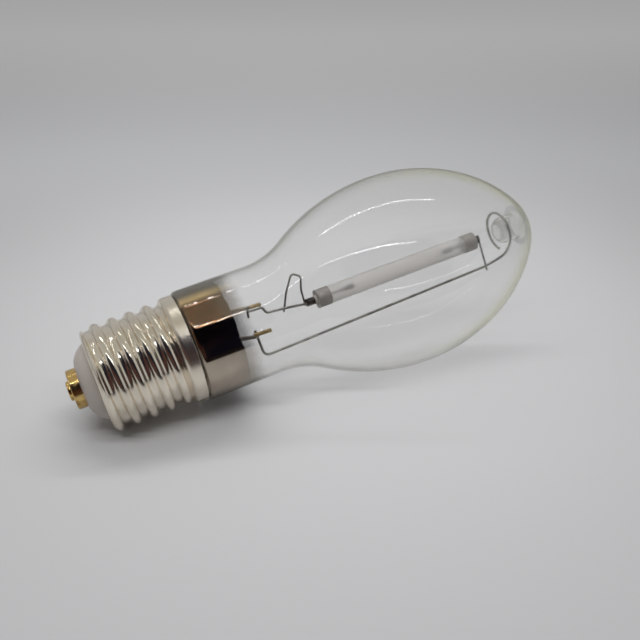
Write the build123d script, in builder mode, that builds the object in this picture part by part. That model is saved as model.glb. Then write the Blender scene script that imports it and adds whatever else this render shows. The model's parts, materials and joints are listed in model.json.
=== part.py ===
from build123d import *
import os
from math import acos, atan2, cos, degrees, radians, sin, sqrt

os.makedirs("parts", exist_ok=True)

# High pressure sodium lamp: ovoid clear bulb on a large screw cap, lying on its side.
# Millimetres. Heights run along the lamp's axis, from the outer face of the centre
# contact at 0 to the tip of the bulb. Angles about the axis are counted from straight
# down, and a positive one leans towards +Y.

# Centre contact and insulator
boss_d = 7.2
boss_rise = 1.3
plate_d = 14.6
plate_thick = 3.4
contact_hole_d = 2.4
contact_edge_round = 0.45
insulator_dome_r = 9.0
insulator_flange_thick = 3.6
insulator_hole_d = 4.0

# Screw shell
crest_r = 19.7
root_r = 17.95
thread_pitch = 6.35
first_crest = 13.2
thread_land = 11.0
shell_start = 10.1
shell_wall = 0.45
shell_mouth_r = 14.5
shell_end_round = 3.2
skirt_r = 20.3
skirt_round = 1.85
skirt_start = 41.6
cap_length = 44.8

# Outer bulb
glass_wall = 1.0
neck_r = 21.1
neck_straight = 27.2
shoulder_round = 1.9
reverse_r = 31.5
rear_r = 79.7
front_r = 71.3
widest_r = 38.05
nose_r = 20.9
dimple_r = 4.3
dimple_depth = 11.9
dimple_floor_round = 2.0
dimple_lip = 3.0
neck_end = 24.0
film_end = 68.0
film_thick = 0.12

# Stem
stem_r = 7.0
stem_top = 42.0
press_start = 47.0
press_top = 56.0
press_width = 17.0
press_thick = 5.0
press_edge_round = 2.25
exhaust_r = 2.4
exhaust_wall = 0.8
exhaust_tip = 17.0

# Leads
lead_spread = 4.6
outer_lead_d = 0.7
outer_lead_bend_r = 3.0
seal_wire_d = 0.5
seal_wire_start = 48.0
seal_wire_length = 5.0
inner_lead_d = 1.55
inner_lead_bend_r = 4.0
lead_tip_d = 1.6
lead_stub_d = 0.9

# Mount, whose wires lie in or beside one plane through the lamp's axis
mount_angle = -24.0
feed_wire_d = 1.0
frame_wire_d = 1.05
strap_d = 0.8
hairpin_d = 0.8
frame_reach = 14.0
frame_lean = 1.9
loop_clearance = 2.2
loop_above_floor = 0.5
strap_overhang = 1.0

# Arc tube
arc_tube_d = 7.0
arc_tube_bore = 5.4
arc_tube_length = 70.8
arc_tube_drop = 0.5
plug_length = 4.2
plug_recess = 0.3
frit_rise = 1.26
frit_foot = 0.45
shield_length = 5.2
shield_thick = 0.13
niobium_d = 3.0
niobium_bore = 2.2
niobium_closed_end = 0.8
niobium_reach = {"lower": 4.4, "upper": 2.4}
electrode_rod_d = 0.8
electrode_reach = {"lower": 16.3, "upper": 14.9}
coil_wire_d = 0.6
coil_turns = 6
coil_setback = 0.8
amalgam_r = 0.7

# Getter
getter_ring_r = 4.5
getter_channel_r = 0.8
getter_wire_d = 0.7
getter_reach = 13.0
getter_height = 57.0

# Clearances
fit = 0.02
butt_gap = 0.12
neck_clearance = 0.3
seam = 0.2
cut_margin = 1.0

# Heights and radii that follow from the sizes above
plate_end = boss_rise + plate_thick
thread_depth = crest_r - root_r
thread_round = ((thread_pitch / 2) ** 2 + thread_depth**2) / (4 * thread_depth)
thread_flank = degrees(atan2(thread_pitch / 2, 2 * thread_round - thread_depth))
inner_neck_r = root_r - shell_wall - neck_clearance
shoulder_hollow = neck_r - shoulder_round - inner_neck_r
shoulder_height = cap_length + seam + shoulder_round
hollow_height = shoulder_height - shoulder_round - shoulder_hollow
rear_axis_r = widest_r - rear_r
front_axis_r = widest_r - front_r
reverse_axis_r = neck_r + reverse_r
reverse_height = shoulder_height + neck_straight
widest_height = reverse_height + sqrt(
    (rear_r + reverse_r) ** 2 - (reverse_axis_r - rear_axis_r) ** 2
)
rear_angle = degrees(atan2(widest_height - reverse_height, reverse_axis_r - rear_axis_r))
nose_height = widest_height + sqrt((front_r - nose_r) ** 2 - front_axis_r**2)
nose_angle = degrees(atan2(nose_height - widest_height, -front_axis_r))
lip_axis_r = dimple_r + dimple_lip
lip_height = nose_height + sqrt((nose_r - dimple_lip) ** 2 - lip_axis_r**2)
lip_angle = degrees(atan2(lip_height - nose_height, lip_axis_r))
dimple_floor = nose_height + nose_r - dimple_depth
arc_tube_start = widest_height - arc_tube_drop - arc_tube_length / 2
arc_tube_end = arc_tube_start + arc_tube_length
bore_entry = arc_tube_start - niobium_reach["lower"]
strap_height = arc_tube_end + niobium_reach["upper"] + strap_d / 2 + fit
loop_r = dimple_r + glass_wall + loop_clearance + frame_wire_d / 2
loop_height = dimple_floor + loop_above_floor

# The lamp rests on the thread's lowest crest and on the bulb's rear curve, which sets
# how far its axis rises towards the tip.
rest_run = widest_height - first_crest
rest_drop = crest_r - rear_axis_r
tilt = atan2(rest_run, rest_drop) - acos(rear_r / sqrt(rest_run**2 + rest_drop**2))
boss_r = boss_d / 2
low_x = contact_edge_round * (cos(tilt) - 1) - (boss_r - contact_edge_round) * sin(tilt)
high_x = lip_height * cos(tilt) + lip_axis_r * sin(tilt) + dimple_lip
rest_height = crest_r * cos(tilt) - first_crest * sin(tilt)

lamp = Plane(
    origin=(-(low_x + high_x) / 2, 0, rest_height),
    x_dir=(sin(tilt), 0, -cos(tilt)),
    z_dir=(cos(tilt), 0, sin(tilt)),
)
lamp_axis = Axis(lamp.origin, lamp.z_dir)


def side(angle):
    # Plane through the lamp's axis: its x points outward at the angle, its y is height
    outward = lamp.x_dir * cos(radians(angle)) + lamp.y_dir * sin(radians(angle))
    return Plane(lamp.origin, x_dir=outward, z_dir=outward.cross(lamp.z_dir))


section = side(0)
mount = side(mount_angle)


def keep(name, piece):
    piece.part.label = name
    export_step(piece.part, f"parts/{name}.step")


def ring(inner_r, outer_r, start, length):
    # Round collar about the lamp's axis
    with BuildSketch(lamp.offset(start)) as collar:
        Circle(outer_r)
        if inner_r:
            Circle(inner_r, mode=Mode.SUBTRACT)
    extrude(collar.sketch, amount=length)


def round_wire(route, diameter):
    # Wire along the route that is pending, its section square to the first run
    with BuildSketch(Plane(route.line @ 0, z_dir=route.line % 0)) as cut_end:
        Circle(diameter / 2)
    sweep(cut_end.sketch)


# Centre contact: a turned disc with a boss, drilled for the lead
with BuildPart() as contact_plate:
    ring(contact_hole_d / 2, plate_d / 2, boss_rise, plate_thick)
    ring(contact_hole_d / 2, boss_r, 0, boss_rise)
    rims = contact_plate.edges().filter_by(GeomType.CIRCLE)
    boss_rim = rims.filter_by(lambda rim: abs(rim.radius - boss_r) < fit)
    plate_rim = rims.filter_by(lambda rim: abs(rim.radius - plate_d / 2) < fit)
    fillet(boss_rim.sort_by(lamp_axis)[0], contact_edge_round)
    fillet(plate_rim.sort_by(lamp_axis)[0], contact_edge_round)
keep("contact_plate", contact_plate)

# Solder that fills the boss's hole round the end of the lead
solder_start = 0.15
solder_end = boss_rise + 1.0
lead_end = 0.7
with BuildPart() as contact_solder:
    ring(0, contact_hole_d / 2 - fit, solder_start, solder_end - solder_start)
    with BuildSketch(lamp.offset(lead_end - fit)):
        Circle(outer_lead_d / 2 + fit)
    extrude(amount=solder_end - lead_end + fit, mode=Mode.SUBTRACT)
keep("contact_solder", contact_solder)

# Insulator: a glass dome that holds the contact and grips the shell's turned-in end
flange_start = shell_start + shell_wall + fit
flange_r = crest_r - shell_end_round - fit
foot_r = plate_d / 2 + seam
with BuildPart() as cap_insulator:
    with BuildSketch(section):
        with BuildLine():
            RadiusArc((foot_r, plate_end), (shell_mouth_r - fit, shell_start), -insulator_dome_r)
            Polyline(
                (shell_mouth_r - fit, shell_start),
                (shell_mouth_r - fit, flange_start),
                (flange_r, flange_start),
                (flange_r, flange_start + insulator_flange_thick),
                (insulator_hole_d / 2, flange_start + insulator_flange_thick),
                (insulator_hole_d / 2, plate_end),
                (foot_r, plate_end),
            )
        make_face()
    revolve(axis=lamp_axis)
keep("cap_insulator", cap_insulator)


# Screw shell: rolled from sheet, so its inside follows its outside at one wall thickness
def core_r(depth):
    # Radius at which the thread's hollow is cut off by a narrow land
    hollow = (thread_round + depth) * cos(radians(thread_land))
    return root_r + thread_round - hollow


def core_outline(depth):
    # Half outline of the threaded body and of the skirt that flares out from it
    flare = degrees(acos(1 - (skirt_r - core_r(0)) / (2 * skirt_round)))
    flare_length = 2 * skirt_round * sin(radians(flare))
    flare_start = skirt_start - flare_length
    inner = core_r(0) - depth
    Polyline((inner, flare_start), (inner, shell_start), (0, shell_start), (0, cap_length))
    Polyline(
        (0, cap_length), (skirt_r - depth, cap_length), (skirt_r - depth, skirt_start)
    )
    CenterArc((skirt_r - skirt_round, skirt_start), skirt_round - depth, 0, -flare)
    CenterArc((core_r(0) + skirt_round, flare_start), skirt_round + depth, 180, -flare)


def rib_outline(depth):
    # Cross-section of one turn: a round crest that runs into half of each hollow and
    # ends a little below the land, inside the threaded body
    height = first_crest - thread_pitch
    crest_axis_r = crest_r - thread_round
    hollow_axis_r = root_r + thread_round
    hollow_round = thread_round + depth
    hollow_end = thread_land / 2
    hollow_sweep = thread_flank - hollow_end
    edge = hollow_round * sin(radians(hollow_end))
    edge_r = hollow_axis_r - hollow_round * cos(radians(hollow_end))
    foot_r = edge_r - thread_depth
    low = height - thread_pitch / 2
    high = height + thread_pitch / 2
    CenterArc((crest_axis_r, height), thread_round - depth, -thread_flank, 2 * thread_flank)
    CenterArc((hollow_axis_r, high), hollow_round, 180 + thread_flank, -hollow_sweep)
    CenterArc((hollow_axis_r, low), hollow_round, 180 - thread_flank, hollow_sweep)
    Polyline(
        (edge_r, high - edge), (foot_r, high - edge), (foot_r, low + edge), (edge_r, low + edge)
    )


def end_outline(depth):
    # Rounded end that the thread runs out over
    reach = crest_r + seam / 2
    corner = (reach - shell_end_round, shell_start + shell_end_round)
    CenterArc(corner, shell_end_round - depth, -90, 90)
    Polyline(
        (reach - depth, corner[1]),
        (skirt_r + cut_margin, corner[1]),
        (skirt_r + cut_margin, cap_length),
        (0, cap_length),
        (0, shell_start + depth),
        (corner[0], shell_start + depth),
    )


# The shell is made about an upright axis and then laid down, so that its form is the
# same however far the lamp tilts. What is turned has its seam behind, away from where
# the thread begins.
thread_front = Plane(origin=(0, 0, 0), x_dir=(1, 0, 0), z_dir=(0, -1, 0))
thread_back = Plane(origin=(0, 0, 0), x_dir=(-1, 0, 0), z_dir=(0, 1, 0))
thread_run = cap_length - first_crest + 1.5 * thread_pitch
thread_path = Helix(
    thread_pitch, thread_run, root_r, center=(0, 0, first_crest - thread_pitch)
)


def thread_form(depth):
    # Solid bounded by the screw's surface, or by one that lies inside it by depth
    with BuildPart() as form:
        with BuildSketch(thread_back):
            with BuildLine():
                core_outline(depth)
            make_face()
        revolve(axis=Axis.Z)
        with BuildSketch(thread_front):
            with BuildLine():
                rib_outline(depth)
            make_face()
        sweep(path=thread_path, is_frenet=True)
        with BuildSketch(thread_back):
            with BuildLine():
                end_outline(depth)
            make_face()
        revolve(axis=Axis.Z, mode=Mode.INTERSECT)
    return form.part


shell_outside = thread_form(0)
shell_inside = thread_form(shell_wall)
with BuildPart() as upright_shell:
    add(shell_outside)
    add(shell_inside, mode=Mode.SUBTRACT)
    with BuildSketch(Plane.XY.offset(shell_start - cut_margin)):
        Circle(shell_mouth_r)
    extrude(amount=shell_wall + 2 * cut_margin, mode=Mode.SUBTRACT)
with BuildPart() as screw_shell:
    add(lamp.location * upright_shell.part)
keep("screw_shell", screw_shell)


# Outer bulb: blown glass of one wall thickness, dimpled at its tip
def bulb_outline(depth, end):
    # Half outline from the floor of the dimple to the open end of the neck
    well_r = dimple_r + depth
    well_floor = dimple_floor - depth
    corner = (dimple_r - dimple_floor_round, dimple_floor + dimple_floor_round)
    throat_r = inner_neck_r - depth
    Line((0, well_floor), (corner[0], well_floor))
    CenterArc(corner, dimple_floor_round + depth, -90, 90)
    Line((well_r, corner[1]), (well_r, lip_height))
    CenterArc((lip_axis_r, lip_height), dimple_lip - depth, 180, lip_angle - 180)
    CenterArc((0, nose_height), nose_r - depth, lip_angle, nose_angle - lip_angle)
    CenterArc((front_axis_r, widest_height), front_r - depth, nose_angle, -nose_angle)
    CenterArc((rear_axis_r, widest_height), rear_r - depth, 0, -rear_angle)
    CenterArc((reverse_axis_r, reverse_height), reverse_r + depth, 180 - rear_angle, rear_angle)
    Line((neck_r - depth, reverse_height), (neck_r - depth, shoulder_height))
    shoulder_axis_r = neck_r - shoulder_round
    CenterArc((shoulder_axis_r, shoulder_height), shoulder_round - depth, 0, -90)
    CenterArc((shoulder_axis_r, hollow_height), shoulder_hollow + depth, 90, 90)
    Polyline((throat_r, hollow_height), (throat_r, end), (0, end), (0, well_floor))


with BuildPart() as outer_bulb:
    with BuildSketch(section):
        with BuildLine():
            bulb_outline(0, neck_end)
        make_face()
    revolve(axis=lamp_axis)
    with BuildSketch(section):
        with BuildLine():
            bulb_outline(glass_wall, neck_end - glass_wall)
        make_face()
    revolve(axis=lamp_axis, mode=Mode.SUBTRACT)
keep("outer_bulb", outer_bulb)

# Cement between the skirt and the step of the neck
with BuildPart() as cap_cement:
    ring(inner_neck_r, skirt_r - shell_wall - fit, skirt_start, cap_length - skirt_start)
    add(outer_bulb.part, mode=Mode.SUBTRACT)
keep("cap_cement", cap_cement)

# Mirror film that the getter left inside the neck
film_r = neck_r - glass_wall - fit
with BuildPart() as getter_film:
    ring(film_r - film_thick, film_r, shoulder_height, film_end - shoulder_height)
keep("getter_film", getter_film)

# Stem: a flared tube sealed to the neck, pinched flat round the leads, with the
# exhaust tube tipped off inside it
flare_axis_r = inner_neck_r - glass_wall
flare_r = flare_axis_r - stem_r
flare_height = neck_end + flare_r
seal_wire_end = seal_wire_start + seal_wire_length
with BuildPart() as glass_stem:
    with BuildSketch(section):
        with BuildLine():
            CenterArc((flare_axis_r, flare_height), flare_r, 180, 90)
            Line((flare_axis_r, neck_end), (inner_neck_r, neck_end))
            CenterArc((flare_axis_r, neck_end), glass_wall, -90, 90)
            CenterArc((flare_axis_r, flare_height), flare_r + glass_wall, 180, 90)
            Polyline(
                (stem_r, flare_height),
                (stem_r, stem_top),
                (stem_r - glass_wall, stem_top),
                (stem_r - glass_wall, flare_height),
            )
        make_face()
    revolve(axis=lamp_axis)
    press_plane = Plane(lamp.origin, x_dir=mount.x_dir, z_dir=lamp.z_dir)
    with BuildSketch(press_plane.offset(stem_top)):
        Circle(stem_r)
    with BuildSketch(press_plane.offset(press_start)) as press_section:
        RectangleRounded(press_width, press_thick, press_edge_round)
    loft()
    extrude(press_section.sketch, amount=press_top - press_start)
    with BuildSketch(section):
        with BuildLine():
            CenterArc((0, exhaust_tip + exhaust_r), exhaust_r, -90, 90)
            Polyline(
                (exhaust_r, exhaust_tip + exhaust_r),
                (exhaust_r, stem_top),
                (0, stem_top),
                (0, exhaust_tip),
            )
        make_face()
    revolve(axis=lamp_axis)
    bore_start = exhaust_tip + exhaust_r
    with BuildSketch(lamp.offset(bore_start)):
        Circle(exhaust_r - exhaust_wall)
    extrude(amount=stem_top - bore_start, mode=Mode.SUBTRACT)
    for start, length, diameter in (
        (stem_top, seal_wire_start - stem_top, outer_lead_d),
        (seal_wire_start, seal_wire_length, seal_wire_d),
        (seal_wire_end, press_top - seal_wire_end, inner_lead_d),
    ):
        with BuildSketch(press_plane.offset(start)):
            with Locations((-lead_spread, 0), (lead_spread, 0)):
                Circle(diameter / 2 + fit)
        extrude(amount=length, mode=Mode.SUBTRACT)
keep("glass_stem", glass_stem)

# Leads through the press: thin sealed wire between an outer and an inner lead
for name, place in (("seal_wire_contact", -lead_spread), ("seal_wire_shell", lead_spread)):
    with BuildPart() as seal_wire:
        with BuildSketch(press_plane.offset(seal_wire_start)):
            with Locations((place, 0)):
                Circle(seal_wire_d / 2)
        extrude(amount=seal_wire_length)
    keep(name, seal_wire)

# Outer lead to the centre contact, led round the tip of the exhaust tube
insulator_top = flange_start + insulator_flange_thick
with BuildPart() as outer_lead_contact:
    with BuildLine(mount) as route:
        FilletPolyline(
            (-lead_spread, seal_wire_start),
            (-lead_spread, exhaust_tip + 2 * exhaust_r),
            (0, insulator_top - exhaust_r),
            (0, lead_end),
            radius=outer_lead_bend_r,
        )
    round_wire(route, outer_lead_d)
keep("outer_lead_contact", outer_lead_contact)

# Outer lead to the shell, welded in a hollow of the thread, where its wall is nearest
shell_weld = first_crest + thread_pitch * (mount_angle / 360 + 0.5)
with BuildPart() as outer_lead_shell:
    with BuildLine(mount) as route:
        FilletPolyline(
            (lead_spread, seal_wire_start),
            (lead_spread, shell_weld),
            (root_r - shell_wall - fit, shell_weld),
            radius=outer_lead_bend_r,
        )
    round_wire(route, outer_lead_d)
keep("outer_lead_shell", outer_lead_shell)

# Inner leads, bent as the photograph shows them above the mirror film
lead_r = inner_lead_d / 2
tip_r = lead_tip_d / 2
lead_bend_start = press_top + 1.5
upper_lead_knee = (-6.85, 64.0)
upper_lead_end = (-5.95, 70.9)
upper_tip_end = (-5.75, 75.4)
lower_lead_knee = (4.15, 63.8)
lower_lead_end = (5.6, 70.9)
for name, place, knee, end in (
    ("inner_lead_upper", -lead_spread, upper_lead_knee, upper_lead_end),
    ("inner_lead_lower", lead_spread, lower_lead_knee, lower_lead_end),
):
    with BuildPart() as inner_lead:
        with BuildLine(mount) as route:
            FilletPolyline(
                (place, seal_wire_end),
                (place, lead_bend_start),
                knee,
                end,
                radius=inner_lead_bend_r,
            )
        round_wire(route, inner_lead_d)
    keep(name, inner_lead)

# Short bronze-coloured rods at the ends of the leads: the upper one butts on its lead,
# the lower one lies along the near side of its lead
with BuildPart() as lead_tip_upper:
    with BuildLine(mount) as route:
        Line((upper_lead_end[0], upper_lead_end[1] + butt_gap), upper_tip_end)
    round_wire(route, lead_tip_d)
keep("lead_tip_upper", lead_tip_upper)

tip_step = lead_r + tip_r + fit
with BuildPart() as lead_tip_lower:
    with BuildLine(mount.offset(tip_step)) as route:
        Line((4.3, lower_lead_end[1] - 1.8), (4.65, lower_lead_end[1] + 5.0))
    round_wire(route, lead_tip_d)
keep("lead_tip_lower", lead_tip_lower)

# Cropped end of wire welded across the back of the upper lead
stub_step = -(lead_r + lead_stub_d / 2 + fit)
with BuildPart() as lead_stub:
    with BuildLine(mount.offset(stub_step)) as route:
        Line((-6.4, upper_lead_end[1] - 0.6), (-2.15, upper_lead_end[1] - 1.2))
    round_wire(route, lead_stub_d)
keep("lead_stub", lead_stub)

# Frame wire: welded across the back of the lower lead, up beside the arc tube and
# round the dimple, which steadies the mount
frame_step = -(lead_r + frame_wire_d / 2 + fit)
loop_start = -64.0
loop_end = -2.0
loop_run_in = 6.0
frame_turn_height = strap_height + 0.25


def mount_point(reach, height, step):
    # A point of the mount in the lamp's own axes
    turn = radians(mount_angle)
    return (
        reach * cos(turn) + step * sin(turn),
        reach * sin(turn) - step * cos(turn),
        height,
    )


def loop_point(angle, run_in=0):
    # A point of the loop, or one on the straight that runs into it
    turn = radians(angle)
    return (
        loop_r * cos(turn) - run_in * sin(turn),
        loop_r * sin(turn) + run_in * cos(turn),
        loop_height,
    )


loop_middle = (loop_start + loop_end) / 2 - 180
with BuildPart() as frame_wire:
    with BuildLine(lamp) as route:
        FilletPolyline(
            mount_point(3.25, lower_lead_end[1] - 0.4, frame_step),
            mount_point(frame_reach, lower_lead_end[1] + 0.1, frame_step),
            mount_point(frame_reach - frame_lean, frame_turn_height, frame_step),
            loop_point(loop_start, loop_run_in),
            loop_point(loop_start),
            radius=(2.5, 5.0, 4.0),
        )
        ThreePointArc(loop_point(loop_start), loop_point(loop_middle), loop_point(loop_end))
    round_wire(route, frame_wire_d)
keep("frame_wire", frame_wire)

# Arc tube of sintered alumina
with BuildPart() as arc_tube:
    ring(arc_tube_bore / 2, arc_tube_d / 2, arc_tube_start, arc_tube_length)
keep("arc_tube", arc_tube)


def revolve_profile(outline):
    # Turned piece, its outline given as radius and distance into the tube
    with BuildSketch(end_section) as profile:
        with BuildLine():
            Polyline(*outline, close=True)
        make_face()
    revolve(profile.sketch, axis=lamp_axis)


# What closes each end of the arc tube, built on a plane at its end face that looks in
for end, height, inward in (("lower", arc_tube_start, 1), ("upper", arc_tube_end, -1)):
    face = Plane(lamp.offset(height).origin, x_dir=lamp.x_dir, z_dir=lamp.z_dir * inward)
    end_section = Plane(face.origin, x_dir=face.x_dir, z_dir=face.x_dir.cross(face.z_dir))
    niobium_r = niobium_d / 2
    plug_r = arc_tube_bore / 2 - fit
    plug_hole_r = niobium_r + fit
    reach = niobium_reach[end]
    niobium_end = plug_recess + plug_length + niobium_closed_end
    rod_r = electrode_rod_d / 2
    tip = electrode_reach[end]

    with BuildPart() as end_plug:
        with BuildSketch(face.offset(plug_recess)):
            Circle(plug_r)
            Circle(plug_hole_r, mode=Mode.SUBTRACT)
        extrude(amount=plug_length)
    keep(f"end_plug_{end}", end_plug)

    with BuildPart() as heat_shield:
        with BuildSketch(face):
            Circle(arc_tube_d / 2 + fit + shield_thick)
            Circle(arc_tube_d / 2 + fit, mode=Mode.SUBTRACT)
        extrude(amount=shield_length)
    keep(f"heat_shield_{end}", heat_shield)

    with BuildPart() as frit_ring:
        revolve_profile(
            [
                (plug_hole_r, plug_recess),
                (plug_r, plug_recess),
                (plug_r, 0),
                (niobium_r + frit_foot, plug_recess - frit_rise / 2),
                (plug_hole_r, plug_recess - frit_rise),
            ]
        )
    keep(f"frit_ring_{end}", frit_ring)

    with BuildPart() as niobium_tube:
        with BuildSketch(face.offset(-reach)):
            Circle(niobium_r)
        extrude(amount=reach + niobium_end)
        with BuildSketch(face.offset(-reach)):
            Circle(niobium_bore / 2)
        extrude(amount=reach + niobium_end - niobium_closed_end, mode=Mode.SUBTRACT)
        with BuildSketch(face.offset(-reach)):
            Circle(rod_r + fit)
        extrude(amount=reach + niobium_end, mode=Mode.SUBTRACT)
        rims = niobium_tube.edges().filter_by(GeomType.CIRCLE)
        rims = rims.sort_by(Axis(face.origin, face.z_dir))
        fillet(rims.group_by(SortBy.RADIUS)[-1][-1], niobium_closed_end / 2)
    keep(f"niobium_tube_{end}", niobium_tube)

    rod_start = niobium_end - 2 * niobium_closed_end
    with BuildPart() as electrode_rod:
        with BuildSketch(face.offset(rod_start)):
            Circle(rod_r)
        extrude(amount=tip - rod_start)
    keep(f"electrode_rod_{end}", electrode_rod)

    coil_length = coil_turns * coil_wire_d
    coil_axis_r = rod_r + fit + coil_wire_d / 2
    with BuildPart() as electrode_coil:
        with BuildSketch(end_section):
            middle = tip - coil_setback - coil_length / 2
            with Locations((coil_axis_r, middle)):
                Rectangle(coil_wire_d / 2, coil_length - coil_wire_d)
                with GridLocations(0, coil_wire_d, 1, coil_turns):
                    Circle(coil_wire_d / 2 + fit / 4)
        revolve(axis=lamp_axis)
    keep(f"electrode_coil_{end}", electrode_coil)

# Drop of sodium amalgam, lying on the tube's lowest side just past the niobium tube's end
amalgam_height = arc_tube_start + plug_recess + plug_length + niobium_closed_end + amalgam_r
amalgam_centre = section.from_local_coords((0, amalgam_height))
with BuildPart() as amalgam_drop:
    with BuildSketch(section):
        with Locations((arc_tube_bore / 2 - amalgam_r - fit, amalgam_height)):
            Circle(amalgam_r, arc_size=180, align=None)
    revolve(axis=Axis(amalgam_centre, section.x_dir))
keep("amalgam_drop", amalgam_drop)

# Feed wire from the upper lead into the bore of the lower niobium tube
feed_gap = tip_r + feed_wire_d / 2 + fit
with BuildPart() as feed_wire:
    with BuildLine(mount) as route:
        FilletPolyline(
            (upper_lead_end[0] + feed_gap, upper_lead_end[1] - 0.9),
            (upper_tip_end[0] + feed_gap, upper_tip_end[1] + 0.2),
            (-1.8, upper_tip_end[1] + 1.2),
            (-1.3, (upper_tip_end[1] + bore_entry) / 2 - 2.1),
            (0, bore_entry - 1.5),
            (0, bore_entry + 3.5),
            radius=(0.9, 1.7, 8.0, 8.0),
        )
    round_wire(route, feed_wire_d)
keep("feed_wire", feed_wire)

# Expansion loop: a hairpin behind the feed wire, welded to it and across the tube's end
hairpin_step = -(feed_wire_d + hairpin_d) / 2 - fit
hairpin_weld = bore_entry - hairpin_d / 2 - fit
with BuildPart() as expansion_loop:
    with BuildLine(mount.offset(hairpin_step)) as route:
        FilletPolyline(
            (0.3, bore_entry - 9.4),
            (-6.5, bore_entry - 6.2),
            (-12.6, bore_entry - 2.0),
            (-10.4, bore_entry + 1.3),
            (-5.4, hairpin_weld + 0.2),
            (1.0, hairpin_weld),
            radius=(15.0, 1.4, 1.4, 6.0),
        )
    round_wire(route, hairpin_d)
keep("expansion_loop", expansion_loop)

# Cross strap from the upper niobium tube's end to the frame wire
strap_step = frame_step + (frame_wire_d + strap_d) / 2 + fit
strap_end = frame_reach - frame_lean + frame_wire_d / 2 + strap_overhang
with BuildPart() as cross_strap:
    with BuildLine(mount.offset(strap_step)) as route:
        Line((-niobium_r, strap_height), (strap_end, strap_height + 0.1))
    round_wire(route, strap_d)
keep("cross_strap", cross_strap)

# Getter: a channelled ring facing the neck, carried by a wire on the lower lead
getter_step = -(lead_r + getter_wire_d / 2 + fit)
getter_plane = mount.offset(getter_step)
getter_centre = getter_plane.from_local_coords((getter_reach, getter_height, 0))
with BuildPart() as getter_ring:
    with BuildSketch(getter_plane):
        with Locations((getter_reach, getter_height + getter_ring_r)):
            Circle(getter_channel_r)
            with Locations((getter_channel_r, 0)):
                Rectangle(getter_channel_r, getter_channel_r, mode=Mode.SUBTRACT)
    revolve(axis=Axis(getter_centre, getter_plane.x_dir))
keep("getter_ring", getter_ring)

with BuildPart() as getter_holder:
    with BuildLine(getter_plane) as route:
        weld_height = getter_height + getter_ring_r
        Line((3.2, weld_height), (getter_reach - getter_channel_r - fit, weld_height))
    round_wire(route, getter_wire_d)
keep("getter_holder", getter_holder)
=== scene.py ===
import json
import math
import bpy
from mathutils import Matrix, Vector


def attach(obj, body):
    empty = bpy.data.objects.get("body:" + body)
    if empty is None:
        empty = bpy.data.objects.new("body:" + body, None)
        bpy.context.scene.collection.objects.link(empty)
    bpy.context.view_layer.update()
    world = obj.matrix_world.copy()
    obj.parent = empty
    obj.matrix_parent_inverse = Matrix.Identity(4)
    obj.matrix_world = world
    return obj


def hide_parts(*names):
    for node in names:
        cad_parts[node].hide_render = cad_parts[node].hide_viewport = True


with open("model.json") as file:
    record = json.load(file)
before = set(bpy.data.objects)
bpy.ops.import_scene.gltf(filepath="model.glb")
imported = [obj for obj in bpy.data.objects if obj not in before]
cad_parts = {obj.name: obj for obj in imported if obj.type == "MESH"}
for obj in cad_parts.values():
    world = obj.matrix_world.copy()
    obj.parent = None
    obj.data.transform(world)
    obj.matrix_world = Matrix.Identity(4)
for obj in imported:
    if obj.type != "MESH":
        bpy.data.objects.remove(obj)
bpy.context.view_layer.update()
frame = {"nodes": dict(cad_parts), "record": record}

nodes = frame["nodes"]
mm = 0.001
print("frame loaded with", len(nodes), "nodes")

# the lamp's own axes: height runs along lampAxis from the face of the centre contact
mounts = {mount["name"]: mount for mount in frame["record"]["mounts"]}
screwMount = mounts["screw_base"]
threadMiddle = 27.45 * mm  # height of the screw mount above the contact's face
lampAxis = Vector(screwMount["axis"]).normalized()
if lampAxis.x < 0:
    lampAxis = -lampAxis
lampDown = Vector((lampAxis.z, 0, -lampAxis.x))
lampSide = Vector((0, 1, 0))
lampOrigin = Vector(screwMount["pos_m"]) - lampAxis * threadMiddle
lampPlace = Matrix((lampDown, lampSide, lampAxis)).transposed().to_4x4()
lampPlace.translation = lampOrigin


# camera first, at the photograph's angle
view = {
    "place": (-0.1045, -0.2402, 0.1801),
    "forward": (0.3508, 0.7841, -0.5123),
    "lens": 43.875,
    "sensor": 36,
}
viewForward = Vector(view["forward"]).normalized()
bpy.ops.object.camera_add(location=view["place"])
camera = bpy.context.active_object
camera.rotation_euler = viewForward.to_track_quat("-Z", "Y").to_euler()
camera.data.lens = view["lens"]
camera.data.sensor_width = view["sensor"]
camera.data.dof.use_dof = False
bpy.context.scene.camera = camera
print("camera set")

# the tent stands square to the view, its opening towards the camera
tentForward = Vector((viewForward.x, viewForward.y, 0)).normalized()
tentRight = Vector((tentForward.y, -tentForward.x, 0))
tentTurn = math.atan2(tentRight.y, tentRight.x)


# modelling helpers

def deselectAll():
    bpy.ops.object.select_all(action="DESELECT")


def inMetres(lengths):
    return [length * mm for length in lengths]


def arcPoints(axisR, height, radius, start, sweep, steps):
    # points of an arc as radius and height, its first point left out
    turns = [math.radians(start + sweep * i / steps) for i in range(1, steps + 1)]
    return [(axisR + radius * math.cos(t), height + radius * math.sin(t)) for t in turns]


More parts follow.
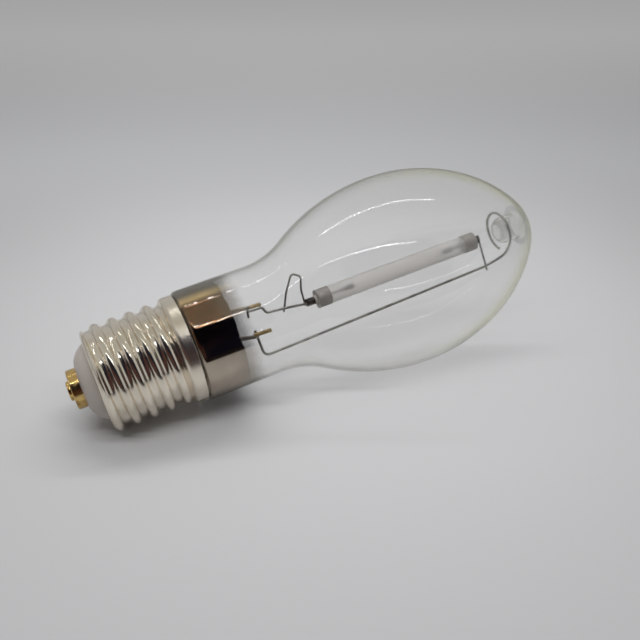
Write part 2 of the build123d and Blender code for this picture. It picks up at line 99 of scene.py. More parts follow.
def turnOutline(name, outline, segments, closeTip=False):
    # a circle that is extruded and scaled ring by ring along the outline
    radius, height = outline[0]
    deselectAll()
    bpy.ops.mesh.primitive_circle_add(vertices=segments, radius=radius, location=(0, 0, height))
    piece = bpy.context.active_object
    piece.name = name
    bpy.ops.object.mode_set(mode="EDIT")
    bpy.ops.mesh.select_all(action="SELECT")
    for nextRadius, nextHeight in outline[1:]:
        rise = (0, 0, nextHeight - height)
        bpy.ops.mesh.extrude_region_move(TRANSFORM_OT_translate={"value": rise})
        share = nextRadius / radius
        bpy.ops.transform.resize(value=(share, share, 1), center_override=(0, 0, nextHeight))
        radius, height = nextRadius, nextHeight
    if closeTip:
        bpy.ops.mesh.merge(type="CENTER")
    bpy.ops.mesh.select_all(action="SELECT")
    bpy.ops.mesh.normals_make_consistent(inside=False)
    bpy.ops.object.mode_set(mode="OBJECT")
    return piece


def applyModifiers(piece):
    deselectAll()
    piece.select_set(True)
    bpy.context.view_layer.objects.active = piece
    for modifier in list(piece.modifiers):
        bpy.ops.object.modifier_apply(modifier=modifier.name)


def giveWall(piece, thickness):
    wall = piece.modifiers.new("wall", "SOLIDIFY")
    wall.thickness = thickness
    wall.offset = -1
    wall.use_even_offset = True
    applyModifiers(piece)


smoothAngle = math.radians(35)


def placeOnLamp(piece, slotName, *replaced):
    # from the turning axis to where the lamp lies, then onto the frame's body
    piece.matrix_world = lampPlace @ piece.matrix_world
    deselectAll()
    piece.select_set(True)
    bpy.context.view_layer.objects.active = piece
    bpy.ops.object.transform_apply(location=True, rotation=True, scale=True)
    bpy.ops.object.shade_smooth_by_angle(angle=smoothAngle)
    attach(piece, "root")
    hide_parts(*replaced)


# shared effects, each a node group with named inputs and outputs

def newGroup(name, inputs, outputs):
    group = bpy.data.node_groups.new(name, "ShaderNodeTree")
    for label, kind, value in inputs:
        socket = group.interface.new_socket(label, in_out="INPUT", socket_type=kind)
        if value is not None:
            socket.default_value = value
    for label, kind in outputs:
        group.interface.new_socket(label, in_out="OUTPUT", socket_type=kind)
    start = group.nodes.new("NodeGroupInput")
    end = group.nodes.new("NodeGroupOutput")
    return group, start, end


def mottleGroup():
    # slow, uneven change between two colours, with a mask for other uses
    group, start, end = newGroup(
        "mottle",
        [
            ("Vector", "NodeSocketVector", None),
            ("Scale", "NodeSocketFloat", 60.0),
            ("Detail", "NodeSocketFloat", 4.0),
            ("Low", "NodeSocketFloat", 0.4),
            ("High", "NodeSocketFloat", 0.6),
            ("Plain", "NodeSocketColor", (1, 1, 1, 1)),
            ("Stained", "NodeSocketColor", (0.5, 0.5, 0.5, 1)),
        ],
        [("Color", "NodeSocketColor"), ("Mask", "NodeSocketFloat")],
    )
    links = group.links
    noise = group.nodes.new("ShaderNodeTexNoise")
    spread = group.nodes.new("ShaderNodeMapRange")
    spread.interpolation_type = "SMOOTHSTEP"
    blend = group.nodes.new("ShaderNodeMix")
    blend.data_type = "RGBA"
    links.new(start.outputs["Vector"], noise.inputs["Vector"])
    links.new(start.outputs["Scale"], noise.inputs["Scale"])
    links.new(start.outputs["Detail"], noise.inputs["Detail"])
    links.new(noise.outputs["Fac"], spread.inputs["Value"])
    links.new(start.outputs["Low"], spread.inputs["From Min"])
    links.new(start.outputs["High"], spread.inputs["From Max"])
    links.new(spread.outputs["Result"], blend.inputs["Factor"])
    links.new(start.outputs["Plain"], blend.inputs["A"])
    links.new(start.outputs["Stained"], blend.inputs["B"])
    links.new(blend.outputs["Result"], end.inputs["Color"])
    links.new(spread.outputs["Result"], end.inputs["Mask"])
    return group


def grainGroup():
    # fine uneven surface as a normal, and its height as a mask
    group, start, end = newGroup(
        "grain",
        [
            ("Vector", "NodeSocketVector", None),
            ("Scale", "NodeSocketFloat", 900.0),
            ("Strength", "NodeSocketFloat", 0.1),
            ("Depth", "NodeSocketFloat", 0.0001),
        ],
        [("Normal", "NodeSocketVector"), ("Mask", "NodeSocketFloat")],
    )
    links = group.links
    noise = group.nodes.new("ShaderNodeTexNoise")
    noise.inputs["Detail"].default_value = 3
    bump = group.nodes.new("ShaderNodeBump")
    links.new(start.outputs["Vector"], noise.inputs["Vector"])
    links.new(start.outputs["Scale"], noise.inputs["Scale"])
    links.new(noise.outputs["Fac"], bump.inputs["Height"])
    links.new(start.outputs["Strength"], bump.inputs["Strength"])
    links.new(start.outputs["Depth"], bump.inputs["Distance"])
    links.new(bump.outputs["Normal"], end.inputs["Normal"])
    links.new(noise.outputs["Fac"], end.inputs["Mask"])
    return group


mottle = mottleGroup()
grain = grainGroup()


# material helpers

def rgb(red, green, blue):
    return (red, green, blue, 1)


def newMaterial(name, roughness, metallic=0.0, **sockets):
    # a Principled material whose patterns read the lamp's own axes
    material = bpy.data.materials.new(name)
    material.use_nodes = True
    tree = material.node_tree
    shader = tree.nodes["Principled BSDF"]
    shader.inputs["Roughness"].default_value = roughness
    shader.inputs["Metallic"].default_value = metallic
    for socket, value in sockets.items():
        shader.inputs[socket].default_value = value
    coordinates = tree.nodes.new("ShaderNodeTexCoord")
    mapping = tree.nodes.new("ShaderNodeMapping")
    mapping.vector_type = "TEXTURE"
    mapping.inputs["Location"].default_value = lampOrigin
    mapping.inputs["Rotation"].default_value = lampPlace.to_euler()
    tree.links.new(coordinates.outputs["Object"], mapping.inputs["Vector"])
    return material, tree, shader, mapping.outputs["Vector"]


def addGroup(tree, group, vector, **values):
    node = tree.nodes.new("ShaderNodeGroup")
    node.node_tree = group
    tree.links.new(vector, node.inputs["Vector"])
    for label, value in values.items():
        node.inputs[label].default_value = value
    return node


def mapRange(tree, value, low, high, toLow=0.0, toHigh=1.0):
    node = tree.nodes.new("ShaderNodeMapRange")
    node.interpolation_type = "SMOOTHSTEP"
    labels = ("From Min", "From Max", "To Min", "To Max")
    for label, number in zip(labels, (low, high, toLow, toHigh)):
        node.inputs[label].default_value = number
    tree.links.new(value, node.inputs["Value"])
    return node.outputs["Result"]


def calculate(tree, operation, first, second=0.0):
    node = tree.nodes.new("ShaderNodeMath")
    node.operation = operation
    for socket, value in zip(node.inputs, (first, second)):
        if isinstance(value, (int, float)):
            socket.default_value = value
        else:
            tree.links.new(value, socket)
    return node.outputs["Value"]


def diagonal(tree, first, second):
    # distance of a point from zero, from its two coordinates
    squares = [calculate(tree, "POWER", value, 2) for value in (first, second)]
    return calculate(tree, "SQRT", calculate(tree, "ADD", *squares))


def mixColours(tree, factor, first, second):
    node = tree.nodes.new("ShaderNodeMix")
    node.data_type = "RGBA"
    for label, value in (("Factor", factor), ("A", first), ("B", second)):
        if isinstance(value, (int, float, tuple)):
            node.inputs[label].default_value = value
        else:
            tree.links.new(value, node.inputs[label])
    return node.outputs["Result"]


def splitAxes(tree, vector):
    # down, sideways and height on the lamp's own axes
    split = tree.nodes.new("ShaderNodeSeparateXYZ")
    tree.links.new(vector, split.inputs["Vector"])
    return split.outputs["X"], split.outputs["Y"], split.outputs["Z"]


def assign(material, names):
    for name in names:
        for slot in nodes[name].material_slots:
            slot.material = material


# bulb: the same arcs as the solid, turned finely so that its reflections run smoothly, in mm
bulb = {
    "neckEnd": 24.0,
    "throatR": 17.2,
    "neckR": 21.1,
    "shoulderRound": 1.9,
    "shoulderHeight": 46.9,
    "neckStraight": 27.2,
    "reverseR": 31.5,
    "rearR": 79.7,
    "frontR": 71.3,
    "widestR": 38.05,
    "noseR": 20.9,
    "dimpleR": 4.3,
    "dimpleDepth": 11.9,
    "dimpleFloorRound": 2.0,
    "dimpleLip": 3.0,
    "wall": 1.0,
    "segments": 160,
    "steps": {  # rings along each stretch of the outline
        "hollow": 6,
        "shoulder": 8,
        "neck": 8,
        "reverse": 22,
        "rear": 40,
        "front": 44,
        "nose": 14,
        "lip": 12,
        "dimpleFloor": 8,
    },
}


def bulbOutline(b):
    # half outline from the open end of the neck to the floor of the dimple
    steps = b["steps"]
    rearAxis = b["widestR"] - b["rearR"]
    frontAxis = b["widestR"] - b["frontR"]
    reverseAxis = b["neckR"] + b["reverseR"]
    across = reverseAxis - rearAxis
    along = math.sqrt((b["rearR"] + b["reverseR"]) ** 2 - across**2)
    rearAngle = math.degrees(math.atan2(along, across))
    reverseHeight = b["shoulderHeight"] + b["neckStraight"]
    widestHeight = reverseHeight + along
    noseRise = math.sqrt((b["frontR"] - b["noseR"]) ** 2 - frontAxis**2)
    noseAngle = math.degrees(math.atan2(noseRise, -frontAxis))
    noseHeight = widestHeight + noseRise
    lipAxis = b["dimpleR"] + b["dimpleLip"]
    lipRise = math.sqrt((b["noseR"] - b["dimpleLip"]) ** 2 - lipAxis**2)
    lipAngle = math.degrees(math.atan2(lipRise, lipAxis))
    lipHeight = noseHeight + lipRise
    floorRound = b["dimpleFloorRound"]
    floorHeight = noseHeight + b["noseR"] - b["dimpleDepth"]
    floorAxis = b["dimpleR"] - floorRound
    shoulderAxis = b["neckR"] - b["shoulderRound"]
    hollow = shoulderAxis - b["throatR"]
    hollowHeight = b["shoulderHeight"] - b["shoulderRound"] - hollow
    ring = b["neckStraight"] / steps["neck"]
    outline = [(b["throatR"], b["neckEnd"]), (b["throatR"], hollowHeight)]
    outline += arcPoints(shoulderAxis, hollowHeight, hollow, 180, -90, steps["hollow"])
    outline += arcPoints(
        shoulderAxis, b["shoulderHeight"], b["shoulderRound"], -90, 90, steps["shoulder"]
    )
    outline += [(b["neckR"], b["shoulderHeight"] + ring * i) for i in range(1, steps["neck"] + 1)]
    outline += arcPoints(reverseAxis, reverseHeight, b["reverseR"], 180, -rearAngle, steps["reverse"])
    outline += arcPoints(rearAxis, widestHeight, b["rearR"], -rearAngle, rearAngle, steps["rear"])
    outline += arcPoints(frontAxis, widestHeight, b["frontR"], 0, noseAngle, steps["front"])
    outline += arcPoints(0, noseHeight, b["noseR"], noseAngle, lipAngle - noseAngle, steps["nose"])
    outline += arcPoints(lipAxis, lipHeight, b["dimpleLip"], lipAngle, 180 - lipAngle, steps["lip"])
    outline += [(b["dimpleR"], floorHeight + floorRound)]
    outline += arcPoints(floorAxis, floorHeight + floorRound, floorRound, 0, -90, steps["dimpleFloor"])
    return [(r * mm, h * mm) for r, h in outline]


# clear blown glass: painted shade where it is seen edge-on, lighter underneath and with a painted yellow
# tint towards the tip, and painted shade on the dimple's lip and wall, in mm
glass = {
    "roughness": 0.05,
    "index": 1.48,
    "rippleScale": 38.0,
    "rippleStrength": 0.035,
    "rippleDepth": 0.6,
    "face": rgb(0.997, 0.997, 0.995),
    # painted shade where the glass is seen edge-on: darker above, lighter underneath, yellowish towards
    # the tip
    "edgeFacing": (0.55, 0.98),
    "edge": rgb(0.66, 0.66, 0.655),
    "paintedEdgeShadeBelow": rgb(0.88, 0.88, 0.87),
    "belowDepths": (20.0, 34.0),
    "paintedEdgeTint": rgb(0.75, 0.76, 0.43),
    "tipHeights": (128.0, 158.0),
    # painted shade: a bluish-grey band on the dimple's lip
    "lip": rgb(0.50, 0.515, 0.54),
    "paintedLipShadeHeights": (189.7, 190.1),
    # painted shade: a darker ring on the dimple's wall
    "paintedPitShade": rgb(0.74, 0.74, 0.72),
    "pitOuterR": (4.3, 5.2),
    "pitInnerR": (2.4, 3.4),
    "pitHeight": 174.0,
    "shadow": rgb(0.99, 0.99, 0.99),
    "edgeShadow": rgb(0.86, 0.86, 0.85),
}


def clearGlass(g):
    # slow ripples; painted shade edge-on and on the dimple; rays from lamps and from dull surfaces pass,
    # so that its shadow stays light
    sockets = {"Transmission Weight": 1.0, "IOR": g["index"]}
    material, tree, shader, vector = newMaterial("clearGlass", g["roughness"], **sockets)
    ripple = addGroup(tree, grain, vector, Scale=g["rippleScale"], Strength=g["rippleStrength"],
                      Depth=g["rippleDepth"] * mm)
    tree.links.new(ripple.outputs["Normal"], shader.inputs["Normal"])
    down, sideways, height = splitAxes(tree, vector)
    # painted shade: the colour darkens where the glass is seen edge-on, less underneath, with a painted
    # yellow tint towards the tip
    towardsTip = mapRange(tree, height, *inMetres(g["tipHeights"]))
    underneath = mapRange(tree, down, *inMetres(g["belowDepths"]))
    paintedEdgeShade = mixColours(tree, underneath, g["edge"], g["paintedEdgeShadeBelow"])
    paintedEdgeShade = mixColours(tree, towardsTip, paintedEdgeShade, g["paintedEdgeTint"])
    rim = tree.nodes.new("ShaderNodeLayerWeight")
    rim.inputs["Blend"].default_value = 0.5
    edge = mapRange(tree, rim.outputs["Facing"], *g["edgeFacing"])
    colour = mixColours(tree, edge, g["face"], paintedEdgeShade)
    # painted shade: a bluish-grey band at the dimple's lip
    lip = mapRange(tree, height, *inMetres(g["paintedLipShadeHeights"]))
    colour = mixColours(tree, lip, colour, g["lip"])
    # painted shade: a darker ring on the dimple's wall, above the pit's height
    fromAxis = diagonal(tree, down, sideways)
    withinPit = mapRange(tree, fromAxis, *inMetres(g["pitOuterR"]), 1, 0)
    paintedPitShade = calculate(tree, "MULTIPLY", withinPit, mapRange(tree, fromAxis, *inMetres(g["pitInnerR"])))
    abovePit = calculate(tree, "GREATER_THAN", height, g["pitHeight"] * mm)
    paintedPitShade = calculate(tree, "MULTIPLY", paintedPitShade, abovePit)
    colour = mixColours(tree, paintedPitShade, colour, g["paintedPitShade"])
    tree.links.new(colour, shader.inputs["Base Color"])
    path = tree.nodes.new("ShaderNodeLightPath")
    shadow = mixColours(tree, edge, g["shadow"], g["edgeShadow"])
    clear = tree.nodes.new("ShaderNodeBsdfTransparent")
    both = tree.nodes.new("ShaderNodeMixShader")
    tree.links.new(shadow, clear.inputs["Color"])
    passing = calculate(tree, "MAXIMUM", path.outputs["Is Shadow Ray"], path.outputs["Is Diffuse Ray"])
    tree.links.new(passing, both.inputs["Fac"])
    tree.links.new(shader.outputs["BSDF"], both.inputs[1])
    tree.links.new(clear.outputs["BSDF"], both.inputs[2])
    tree.links.new(both.outputs["Shader"], tree.nodes["Material Output"].inputs["Surface"])
    return material


glassMaterial = clearGlass(glass)
bulbGlass = turnOutline("bulbGlass", bulbOutline(bulb), bulb["segments"], closeTip=True)
giveWall(bulbGlass, bulb["wall"] * mm)
bulbGlass.data.materials.append(glassMaterial)
placeOnLamp(bulbGlass, "clear_glass", "outer_bulb")
print("bulb made")


# mirror film fused to the neck: thick by the cap, up to an edge past which it is a thin haze
film = {
    "intoGlass": 0.16,  # how far it reaches into the wall, so that no light passes between, in mm
    "thickness": 0.12,
    "end": 68.0,
    "thickEnd": 60.8,
    "thickFade": 0.7,
    "unevenEdge": 0.8,
    "hazeCover": 0.42,
    "segments": 128,
    "rings": 24,
    "roundSteps": 6,
    "roughness": 0.05,
    "upper": {
        "Scale": 150.0,
        "Low": 0.35,
        "High": 0.75,
        "Plain": rgb(0.26, 0.15, 0.08),
        "Stained": rgb(0.20, 0.13, 0.08),
    },
    "lower": {
        "Scale": 110.0,
        "Low": 0.35,
        "High": 0.75,
        "Plain": rgb(0.48, 0.41, 0.345),
        "Stained": rgb(0.40, 0.34, 0.29),
    },
    "lowerPlaces": (-0.66, -0.3),  # each zone's places are shares of the film's radius
    "topPlaces": (-0.55, -0.45),
    # painted highlight: a brighter golden zone across the top where the lights reflect
    "paintedHighlight": rgb(0.80, 0.61, 0.35),
    "paintedHighlightPlaces": (-0.27, -0.13),
    "beyondTop": rgb(0.24, 0.21, 0.17),
    "beyondTopPlaces": (-0.14, 0.08),
    "pale": rgb(0.30, 0.28, 0.25),
    "paleHeights": (54.0, 61.0),
    "paleShare": 0.45,
}
filmR = bulb["neckR"] - bulb["wall"] + film["intoGlass"]


def filmOutline(f):
    # round the inside of the shoulder, then straight along the neck
    shoulderAxis = bulb["neckR"] - bulb["shoulderRound"]
    shoulderHeight = bulb["shoulderHeight"]
    outline = arcPoints(shoulderAxis, shoulderHeight, filmR - shoulderAxis, -90, 90, f["roundSteps"])
    step = (f["end"] - shoulderHeight) / f["rings"]
    outline += [(filmR, shoulderHeight + i * step) for i in range(1, f["rings"] + 1)]
    return [(r * mm, h * mm) for r, h in outline]


def filmMaterial(f):
    # golden brown on the upper side, beige below, a painted golden highlight and then greyer across the
    # top
    material, tree, shader, vector = newMaterial("getterMirror", f["roughness"], 1.0)
    upper = addGroup(tree, mottle, vector, **f["upper"])
    lower = addGroup(tree, mottle, vector, **f["lower"])
    down, sideways, height = splitAxes(tree, vector)

    def zone(axis, places, *shares):
        low, high = inMetres(places)
        return mapRange(tree, axis, low * filmR, high * filmR, *shares)

    below = zone(down, f["lowerPlaces"])
    colour = mixColours(tree, below, upper.outputs["Color"], lower.outputs["Color"])
    top = zone(down, f["topPlaces"], 1, 0)
    paintedHighlight = calculate(tree, "MULTIPLY", zone(sideways, f["paintedHighlightPlaces"]), top)
    colour = mixColours(tree, paintedHighlight, colour, f["paintedHighlight"])
    beyondTop = calculate(tree, "MULTIPLY", zone(sideways, f["beyondTopPlaces"]), top)
    colour = mixColours(tree, beyondTop, colour, f["beyondTop"])
    pale = mapRange(tree, height, *inMetres(f["paleHeights"]), 0.0, f["paleShare"])
    colour = mixColours(tree, pale, colour, f["pale"])
    tree.links.new(colour, shader.inputs["Base Color"])
    uneven = calculate(tree, "MULTIPLY", upper.outputs["Mask"], f["unevenEdge"] * mm)
    uneven = calculate(tree, "ADD", uneven, height)
    thickEnd = f["thickEnd"] * mm
    thick = mapRange(tree, uneven, thickEnd, thickEnd + f["thickFade"] * mm, 1, 0)
    haze = mapRange(tree, uneven, thickEnd, f["end"] * mm, f["hazeCover"], 0)
    tree.links.new(calculate(tree, "MAXIMUM", thick, haze), shader.inputs["Alpha"])
    return material


getterMirror = turnOutline("getterMirror", filmOutline(film), film["segments"])
giveWall(getterMirror, film["thickness"] * mm)
getterMirror.data.materials.append(filmMaterial(film))
placeOnLamp(getterMirror, "getter_mirror", "getter_film")
print("mirror film made")


# shell: polished by the rolls on the thread, duller on the skirt
nickel = {
    "spots": {
        "Scale": 90.0,
        "Low": 0.45,
        "High": 0.75,
        "Plain": rgb(0.86, 0.79, 0.70),
        "Stained": rgb(0.74, 0.67, 0.57),
    },
    "grainScale": 700.0,
    "grainStrength": 0.04,
    "roughness": (0.17, 0.24),
    "skirtRoughness": 0.10,
    "skirtHeights": (39.0, 41.0),
}


def nickelMaterial(n):
    material, tree, shader, vector = newMaterial("nickelPlate", n["roughness"][0], 1.0)
    spots = addGroup(tree, mottle, vector, **n["spots"])
    skin = addGroup(tree, grain, vector, Scale=n["grainScale"], Strength=n["grainStrength"])
    height = splitAxes(tree, vector)[2]
    rough = mapRange(tree, spots.outputs["Mask"], 0, 1, *n["roughness"])
    skirt = mapRange(tree, height, *inMetres(n["skirtHeights"]), 0.0, n["skirtRoughness"])
    tree.links.new(spots.outputs["Color"], shader.inputs["Base Color"])
    tree.links.new(calculate(tree, "ADD", rough, skirt), shader.inputs["Roughness"])
    tree.links.new(skin.outputs["Normal"], shader.inputs["Normal"])
    return material


assign(nickelMaterial(nickel), ["screw_shell"])
assign(glassMaterial, ["glass_stem"])

# finishes of the other pieces that keep their solids; roughness is that of the plain colour and
# of the stained one, and spots are the pattern's scale and the mask's low and high ends
finishes = {
    "contactBrass": {
        "pieces": ["contact_plate"],
        "plain": rgb(0.72, 0.50, 0.20),
        "stained": rgb(0.42, 0.27, 0.11),
        "metallic": 1.0,
        "roughness": (0.20, 0.35),
        "spots": (420.0, 0.45, 0.70),
        "grainScale": 1800.0,
        "grainStrength": 0.12,
    },
    "solderMetal": {
        "pieces": ["contact_solder"],
        "plain": rgb(0.62, 0.62, 0.60),
        "stained": rgb(0.40, 0.40, 0.39),
        "metallic": 1.0,
        "roughness": (0.30, 0.38),
        "spots": (900.0, 0.4, 0.7),
        "grainScale": 2500.0,
        "grainStrength": 0.3,
    },
    "opalGlass": {
        "pieces": ["cap_insulator"],
        "plain": rgb(0.52, 0.465, 0.425),
        "stained": rgb(0.46, 0.41, 0.37),
        "metallic": 0.0,
        "roughness": (0.20, 0.25),
        "spots": (70.0, 0.4, 0.8),
        "grainScale": 260.0,
        "grainStrength": 0.08,
        "sockets": {"Specular IOR Level": 0.3},
    },
    "capCement": {
        "pieces": ["cap_cement"],
        "plain": rgb(0.55, 0.50, 0.42),
        "stained": rgb(0.42, 0.37, 0.30),
        "metallic": 0.0,
        "roughness": (0.85, 0.93),
        "spots": (500.0, 0.4, 0.6),
        "grainScale": 1600.0,
        "grainStrength": 0.6,
    },
    "leadWire": {
        "pieces": [
            "outer_lead_contact", "outer_lead_shell", "inner_lead_upper", "inner_lead_lower", "lead_stub",
        ],
        "plain": rgb(0.50, 0.46, 0.42),
        "stained": rgb(0.24, 0.22, 0.20),
        "metallic": 1.0,
        "roughness": (0.20, 0.28),
        "spots": (350.0, 0.4, 0.7),
        "grainScale": 2400.0,
        "grainStrength": 0.15,
    },
    "mountWire": {
        "pieces": ["feed_wire", "expansion_loop", "frame_wire", "cross_strap"],
        "plain": rgb(0.44, 0.43, 0.41),
        "stained": rgb(0.28, 0.27, 0.26),
        "metallic": 1.0,
        "roughness": (0.30, 0.38),
        "spots": (260.0, 0.4, 0.7),
        "grainScale": 2400.0,
        "grainStrength": 0.15,
    },
    "bronzeWire": {
        "pieces": ["lead_tip_upper", "lead_tip_lower"],
        "plain": rgb(0.50, 0.38, 0.20),
        "stained": rgb(0.28, 0.20, 0.11),
        "metallic": 1.0,
        "roughness": (0.35, 0.43),
        "spots": (500.0, 0.4, 0.7),
        "grainScale": 2200.0,
        "grainStrength": 0.25,
    },
    "sealWire": {
        "pieces": ["seal_wire_contact", "seal_wire_shell"],
        "plain": rgb(0.45, 0.20, 0.12),
        "stained": rgb(0.30, 0.13, 0.09),
        "metallic": 1.0,
        "roughness": (0.35, 0.43),
        "spots": (500.0, 0.4, 0.7),
        "grainScale": 2200.0,
        "grainStrength": 0.2,
    },
    "niobiumTube": {
        "pieces": ["niobium_tube_lower", "niobium_tube_upper"],
        "plain": rgb(0.14, 0.135, 0.13),
        "stained": rgb(0.05, 0.048, 0.046),
        "metallic": 1.0,
        "roughness": (0.42, 0.50),
        "spots": (300.0, 0.35, 0.6),
        "grainScale": 1800.0,
        "grainStrength": 0.25,
    },
    "heatShield": {
        "pieces": ["heat_shield_lower", "heat_shield_upper"],
        "plain": rgb(0.38, 0.355, 0.34),
        "stained": rgb(0.30, 0.28, 0.265),
        "metallic": 0.6,
        "roughness": (0.55, 0.63),
        "spots": (300.0, 0.4, 0.7),
        "grainScale": 1200.0,
        "grainStrength": 0.2,
    },
    "sealFrit": {
        "pieces": ["frit_ring_lower", "frit_ring_upper"],
        "plain": rgb(0.50, 0.47, 0.43),
        "stained": rgb(0.34, 0.31, 0.28),
        "metallic": 0.0,
        "roughness": (0.5, 0.58),
        "spots": (600.0, 0.4, 0.6),
        "grainScale": 1600.0,
        "grainStrength": 0.3,
    },
    "tungstenMetal": {
        "pieces": [
            "electrode_rod_lower", "electrode_rod_upper", "electrode_coil_lower", "electrode_coil_upper",
        ],
        "plain": rgb(0.06, 0.056, 0.054),
        "stained": rgb(0.03, 0.028, 0.026),
        "metallic": 1.0,
        "roughness": (0.5, 0.58),
        "spots": (700.0, 0.4, 0.6),
        "grainScale": 2400.0,
        "grainStrength": 0.3,
    },
    "sodiumAmalgam": {
        "pieces": ["amalgam_drop"],
        "plain": rgb(0.62, 0.62, 0.61),
        "stained": rgb(0.50, 0.50, 0.49),
        "metallic": 1.0,
        "roughness": (0.18, 0.26),
        "spots": (900.0, 0.4, 0.6),
        "grainScale": 1500.0,
        "grainStrength": 0.1,
    },
    "getterSteel": {
        "pieces": ["getter_ring", "getter_holder"],
        "plain": rgb(0.42, 0.41, 0.40),
        "stained": rgb(0.26, 0.25, 0.24),
        "metallic": 1.0,
        "roughness": (0.35, 0.43),
        "spots": (350.0, 0.4, 0.7),
        "grainScale": 1800.0,
        "grainStrength": 0.2,
    },
    "sinteredAlumina": {
        "pieces": ["arc_tube", "end_plug_lower", "end_plug_upper"],
        "plain": rgb(1.0, 0.985, 0.965),
        "stained": rgb(0.995, 0.97, 0.945),
        "metallic": 0.0,
        "roughness": (0.40, 0.44),
        "spots": (60.0, 0.35, 0.7),
        "grainScale": 1500.0,
        "grainStrength": 0.05,
        "sockets": {"Transmission Weight": 0.76, "IOR": 1.25},
    },
}


def finishMaterial(name, finish):
    # mottled colour, roughness that follows the mottle, and a fine grain
    sockets = finish.get("sockets", {})
    material, tree, shader, vector = newMaterial(
        name, finish["roughness"][0], finish["metallic"], **sockets
    )
    scale, low, high = finish["spots"]
    spots = addGroup(tree, mottle, vector, Scale=scale, Low=low, High=high,
                     Plain=finish["plain"], Stained=finish["stained"])
    skin = addGroup(tree, grain, vector, Scale=finish["grainScale"], Strength=finish["grainStrength"])
    tree.links.new(spots.outputs["Color"], shader.inputs["Base Color"])
    rough = mapRange(tree, spots.outputs["Mask"], 0, 1, *finish["roughness"])
    tree.links.new(rough, shader.inputs["Roughness"])
    tree.links.new(skin.outputs["Normal"], shader.inputs["Normal"])
    return material


for name, finish in finishes.items():
    assign(finishMaterial(name, finish), finish["pieces"])
print("finishes set")


# stage: a floor with painted light and shade, a softly lit tent that is open towards the camera, and two
# rows of small lights

def dotVector(tree, vector, direction):
    node = tree.nodes.new("ShaderNodeVectorMath")
    node.operation = "DOT_PRODUCT"
    tree.links.new(vector, node.inputs[0])
    node.inputs[1].default_value = direction
    return node.outputs["Value"]


ground = {
    "size": 6.0,
    "roughness": 0.9,
    "gloss": 0.1,
    # painted light: the floor is lighter and darker in bands away from the camera, standing in for how
    # the light falls
    "near": rgb(0.628, 0.630, 0.635),
    "fold": rgb(0.595, 0.60, 0.608),
    "far": rgb(0.93, 0.93, 0.915),
    "foldPlaces": (0.13, 0.27, 0.75),  # where those colours lie, away from the camera
    "paintedBrightMiddle": (0.02, 0.06),  # a painted pool of light, brightest there, to the right and away
    "dimDistances": (0.06, 0.25),
    "dimming": 0.21,
    "dimPlaces": (0.1, 0.3),  # the painted dimming fades out over this stretch
    "frontEdge": -0.205,  # nearer than this, reflections show the dark room, painted into the floor's colour for reflected rays
    "paintedRoomReflection": rgb(0.02, 0.014, 0.012),
}


def makeFloor(g):
    deselectAll()
    bpy.ops.mesh.primitive_plane_add(size=g["size"])
    floor = bpy.context.active_object
    floor.name = "floor"
    material = bpy.data.materials.new("paleFloor")
    material.use_nodes = True
    tree = material.node_tree
    shader = tree.nodes["Principled BSDF"]
    shader.inputs["Roughness"].default_value = g["roughness"]
    shader.inputs["Specular IOR Level"].default_value = g["gloss"]
    place = tree.nodes.new("ShaderNodeTexCoord").outputs["Object"]
    away = dotVector(tree, place, tentForward)
    aside = dotVector(tree, place, tentRight)
    near, middle, far = g["foldPlaces"]
    # painted light and shade: bands away from the camera, and a painted dimming away from a bright middle
    colour = mixColours(tree, mapRange(tree, away, near, middle), g["near"], g["fold"])
    colour = mixColours(tree, mapRange(tree, away, middle, far), colour, g["far"])
    rightOfMiddle = calculate(tree, "SUBTRACT", aside, g["paintedBrightMiddle"][0])
    beyondMiddle = calculate(tree, "SUBTRACT", away, g["paintedBrightMiddle"][1])
    paintedFalloff = mapRange(tree, diagonal(tree, rightOfMiddle, beyondMiddle), *g["dimDistances"])
    paintedFalloff = calculate(tree, "MULTIPLY", paintedFalloff, mapRange(tree, away, *g["dimPlaces"], g["dimming"], 0))
    colour = mixColours(tree, paintedFalloff, colour, rgb(0, 0, 0))
    # painted reflection: for reflected rays the floor nearer than the front edge takes the dark room's
    # colour
    path = tree.nodes.new("ShaderNodeLightPath")
    outside = calculate(tree, "LESS_THAN", away, g["frontEdge"])
    bounced = calculate(tree, "GREATER_THAN", path.outputs["Glossy Depth"], 0.5)
    dark = calculate(tree, "MULTIPLY", outside, bounced)
    colour = mixColours(tree, dark, colour, g["paintedRoomReflection"])
    tree.links.new(colour, shader.inputs["Base Color"])
    floor.data.materials.append(material)


tent = {
    "openingWidth": 1.47,  # its reach sideways and upward, for each metre towards the camera
    "openingHeight": 2.26,
    "widthFade": 0.15,
    "heightFade": 0.1,
    "room": rgb(0.006, 0.006, 0.012),
    "brownRoom": rgb(0.070, 0.034, 0.027),
    "brownWidths": (0.49, 0.56),
    "brownHeights": (0.25, 0.75),
    "wall": rgb(0.45, 0.45, 0.44),
    "roof": rgb(0.42, 0.415, 0.365),
    "roofHeights": (0.3, 0.8),
    "lightBelow": rgb(0.265, 0.265, 0.27),
    "lightAbove": rgb(0.545, 0.545, 0.552),
    "openingLight": rgb(0.10, 0.10, 0.10),
    "backdrop": rgb(0.40, 0.40, 0.405),
}


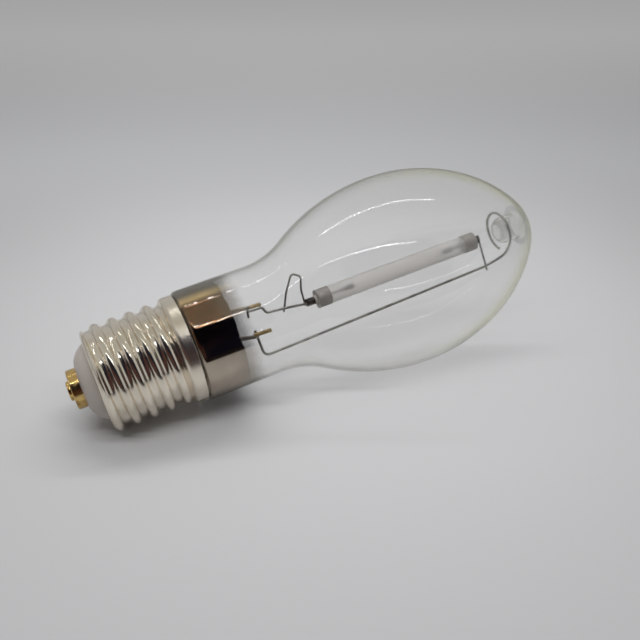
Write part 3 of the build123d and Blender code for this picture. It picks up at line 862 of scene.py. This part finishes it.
def makeWorld(t):
    # even light for surfaces, the tent and its dark opening for reflections, a pale backdrop
    world = bpy.data.worlds.new("tent")
    bpy.context.scene.world = world
    world.use_nodes = True
    tree = world.node_tree
    direction = tree.nodes.new("ShaderNodeTexCoord").outputs["Generated"]
    upward = dotVector(tree, direction, (0, 0, 1))
    towards = calculate(tree, "MAXIMUM", dotVector(tree, direction, -tentForward), 0.0001)
    rightward = calculate(tree, "DIVIDE", dotVector(tree, direction, tentRight), towards)
    above = calculate(tree, "DIVIDE", upward, towards)
    aside = calculate(tree, "ABSOLUTE", rightward)
    width, widthFade = t["openingWidth"], t["widthFade"]
    height, heightFade = t["openingHeight"], t["heightFade"]
    inWidth = mapRange(tree, aside, width - widthFade, width + widthFade, 1, 0)
    inHeight = mapRange(tree, above, height - heightFade, height + heightFade, 1, 0)
    opening = calculate(tree, "MULTIPLY", inWidth, inHeight)
    brownLeft = mapRange(tree, rightward, *t["brownWidths"], 1, 0)
    brownLow = mapRange(tree, above, *t["brownHeights"], 1, 0)
    brown = calculate(tree, "MULTIPLY", brownLeft, brownLow)
    room = mixColours(tree, brown, t["room"], t["brownRoom"])
    cloth = mixColours(tree, mapRange(tree, upward, *t["roofHeights"]), t["wall"], t["roof"])
    mirrored = mixColours(tree, opening, cloth, room)
    lit = mixColours(tree, mapRange(tree, upward, 0, 1), t["lightBelow"], t["lightAbove"])
    lit = mixColours(tree, opening, lit, t["openingLight"])
    path = tree.nodes.new("ShaderNodeLightPath")
    around = mixColours(tree, path.outputs["Is Glossy Ray"], lit, mirrored)
    bounced = calculate(tree, "GREATER_THAN", path.outputs["Glossy Depth"], 0.5)
    around = mixColours(tree, bounced, around, mirrored)
    through = calculate(tree, "SUBTRACT", path.outputs["Is Transmission Ray"], bounced)
    seen = calculate(tree, "MAXIMUM", path.outputs["Is Camera Ray"], through)
    colour = mixColours(tree, seen, around, t["backdrop"])
    tree.links.new(colour, tree.nodes["Background"].inputs["Color"])


rows = {
    "places": (-0.19, 0.14),  # along tentForward, the front row first
    "length": 0.49,
    "shift": -0.055,  # along tentRight
    "ceiling": 0.40,
    "dotPitch": 0.01667,
    "dotSize": 0.005,
    "dotStrength": 65.0,
    "stripWidth": 0.004,
    "stripStrength": (10.0, 0.5),
    "lampShift": -0.035,
    "lampWidth": 0.03,
    "lampGap": 0.01,
    "lampEnergy": 0.79,
}


def rowSpot(place, shift, height):
    spot = tentForward * place + tentRight * shift
    return (spot.x, spot.y, height)


def makeGlow(name, strength):
    material = bpy.data.materials.new(name)
    material.use_nodes = True
    tree = material.node_tree
    glow = tree.nodes.new("ShaderNodeEmission")
    glow.inputs["Strength"].default_value = strength
    tree.links.new(glow.outputs["Emission"], tree.nodes["Material Output"].inputs["Surface"])
    return material


def makeLightRow(r, place, stripStrength):
    # small bright squares on a paler strip under the tent's ceiling, seen only as reflections
    facingDown = (math.pi, 0, tentTurn)
    count = int(r["length"] / r["dotPitch"])
    first = r["shift"] - (count - 1) * r["dotPitch"] / 2
    deselectAll()
    bpy.ops.mesh.primitive_plane_add(
        size=r["dotSize"], location=rowSpot(place, first, r["ceiling"]), rotation=facingDown
    )
    row = bpy.context.active_object
    row.name = "lightRow"
    array = row.modifiers.new("row", "ARRAY")
    array.count = count
    array.use_relative_offset = False
    array.use_constant_offset = True
    array.constant_offset_displace = (r["dotPitch"], 0, 0)
    applyModifiers(row)
    row.data.materials.append(makeGlow("smallLights", r["dotStrength"]))
    deselectAll()
    bpy.ops.mesh.primitive_plane_add(
        size=1, location=rowSpot(place, r["shift"], r["ceiling"] + mm), rotation=facingDown
    )
    strip = bpy.context.active_object
    strip.name = "lightStrip"
    strip.scale = (r["length"], r["stripWidth"], 1)
    strip.data.materials.append(makeGlow("paleStrip", stripStrength))
    for piece in (row, strip):
        piece.visible_diffuse = False
        piece.visible_shadow = False


def makeRowLight(r, place):
    # the light that a row gives; its reflections come from the small squares
    deselectAll()
    above = r["ceiling"] + r["lampGap"]
    bpy.ops.object.light_add(type="AREA", location=rowSpot(place, r["lampShift"], above))
    lamp = bpy.context.active_object
    lamp.name = "rowLight"
    lamp.rotation_euler = (0, 0, tentTurn)
    lamp.data.shape = "RECTANGLE"
    lamp.data.size = r["length"]
    lamp.data.size_y = r["lampWidth"]
    lamp.data.energy = r["lampEnergy"]
    lamp.visible_glossy = False
    lamp.visible_camera = False
    lamp.visible_transmission = False


makeFloor(ground)
makeWorld(tent)
for rowPlace, stripStrength in zip(rows["places"], rows["stripStrength"]):
    makeLightRow(rows, rowPlace, stripStrength)
    makeRowLight(rows, rowPlace)
bpy.context.scene.view_settings.view_transform = "Standard"
print("stage set")
